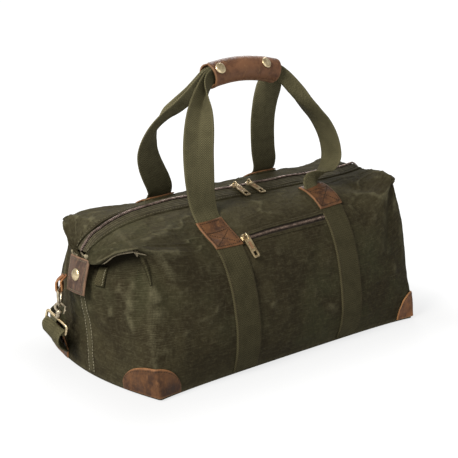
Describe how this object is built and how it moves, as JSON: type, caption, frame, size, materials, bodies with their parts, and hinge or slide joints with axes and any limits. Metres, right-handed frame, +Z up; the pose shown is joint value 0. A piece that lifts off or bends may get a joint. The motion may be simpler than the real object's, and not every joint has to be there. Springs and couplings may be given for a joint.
{
  "type": "weekender bag",
  "caption": "Canvas weekender bag with leather trim, a zip along the top, a zip pocket, carry handles joined in a leather grip and a clip-on shoulder strap.",
  "frame": {"origin": "middle of the resting face, at the centre of the bag without its shoulder strap", "axes": "+X along the bag towards its right end, -Y towards the front with the pocket, +Z up"},
  "size_m": [0.5394, 0.3477, 0.3652],
  "materials": {
    "canvas": "waxed canvas, mottled",
    "lining": "plain cotton",
    "webbing": "woven cotton webbing",
    "zip_tape": "ribbed tape",
    "leather": "oiled, worn edges",
    "dark_leather": "oiled, dark",
    "board": "stiff fibre board",
    "zip_teeth": "aged metal teeth",
    "brass": "antique brass",
    "steel": "antique nickel"
  },
  "bodies": {
    "bag": {"front_panel": "canvas", "back_panel": "canvas", "base_panel": "canvas", "front_zip_facing": "canvas", "back_zip_facing": "canvas", "base_board": "board", "main_zip_tape_front": "zip_tape", "main_zip_tape_back": "zip_tape", "pocket_zip_tape": "zip_tape", "main_zip_chain": "zip_teeth", "pocket_zip_chain": "zip_teeth", "lining": "lining", "pocket_bag": "lining", "corner_patch_front_left": "leather", "corner_patch_front_right": "leather", "corner_patch_back_left": "leather", "corner_patch_back_right": "leather", "handle_patch_front_left": "leather", "handle_patch_front_right": "leather", "handle_patch_back_left": "leather", "handle_patch_back_right": "leather", "d_ring_loop_left": "leather", "d_ring_loop_right": "leather", "zip_end_tab_left": "dark_leather", "zip_end_tab_right": "dark_leather", "webbing_band_front_left": "webbing", "webbing_band_front_right": "webbing", "webbing_band_back_left": "webbing", "webbing_band_back_right": "webbing", "shoulder_strap": "webbing", "side_tab": "webbing", "zip_end_stud_left": "brass", "zip_end_stud_right": "brass", "d_ring_left": "steel", "d_ring_right": "steel", "snap_hook_left": "steel", "snap_hook_right": "steel", "strap_ring_left": "steel", "strap_ring_right": "steel", "strap_adjuster": "steel"},
    "left_slider": {"main_slider_left": "brass"},
    "right_slider": {"main_slider_right": "brass"},
    "left_pull": {"main_pull_left": "brass"},
    "right_pull": {"main_pull_right": "brass"},
    "pocket_slider": {"pocket_slider": "brass"},
    "pocket_pull": {"pocket_pull": "brass"},
    "front_handle": {"front_handle": "webbing", "grip_wrap_front": "leather", "grip_stud_left": "brass", "grip_stud_right": "brass"},
    "back_handle": {"back_handle": "webbing", "grip_wrap_back": "leather"},
    "left_gate": {"hook_gate_left": "steel"},
    "right_gate": {"hook_gate_right": "steel"}
  },
  "joints": [
    {"name": "left_slider_travel", "type": "slide", "parent": "bag", "child": "left_slider", "axis": [-1, 0, 0], "range_m": [0, 0.12]},
    {"name": "right_slider_travel", "type": "slide", "parent": "bag", "child": "right_slider", "axis": [1, 0, 0], "range_m": [0, 0.12]},
    {"name": "left_pull_swing", "type": "hinge", "parent": "left_slider", "child": "left_pull", "pos_m": [-0.012, 0, 0.2026], "axis": [1, 0, 0], "range_deg": [-158, 0]},
    {"name": "right_pull_swing", "type": "hinge", "parent": "right_slider", "child": "right_pull", "pos_m": [0.012, 0, 0.2026], "axis": [1, 0, 0], "range_deg": [-158, 0]},
    {"name": "pocket_slider_travel", "type": "slide", "parent": "bag", "child": "pocket_slider", "axis": [1, 0, 0], "range_m": [0, 0.104]},
    {"name": "pocket_pull_swing", "type": "hinge", "parent": "pocket_slider", "child": "pocket_pull", "pos_m": [-0.05799, -0.08154, 0.16695], "axis": [1, 0, 0], "range_deg": [-160, 0]},
    {"name": "front_handle_fold", "type": "hinge", "parent": "bag", "child": "front_handle", "pos_m": [0, -0.0435, 0.1955], "axis": [1, 0, 0], "range_deg": [0, 115]},
    {"name": "back_handle_fold", "type": "hinge", "parent": "bag", "child": "back_handle", "pos_m": [0, 0.05403, 0.19858], "axis": [1, 0, 0], "range_deg": [-96, 0]},
    {"name": "left_gate_pivot", "type": "hinge", "parent": "bag", "child": "left_gate", "pos_m": [-0.25386, 0.03037, 0.07408], "axis": [-0.6787, -0.6291, -0.3789], "range_deg": [0, 18], "stiffness_Nm_per_rad": 0.004},
    {"name": "right_gate_pivot", "type": "hinge", "parent": "bag", "child": "right_gate", "pos_m": [0.25386, 0.03037, 0.07408], "axis": [-0.6787, 0.6291, 0.3789], "range_deg": [0, 18], "stiffness_Nm_per_rad": 0.004}
  ]
}
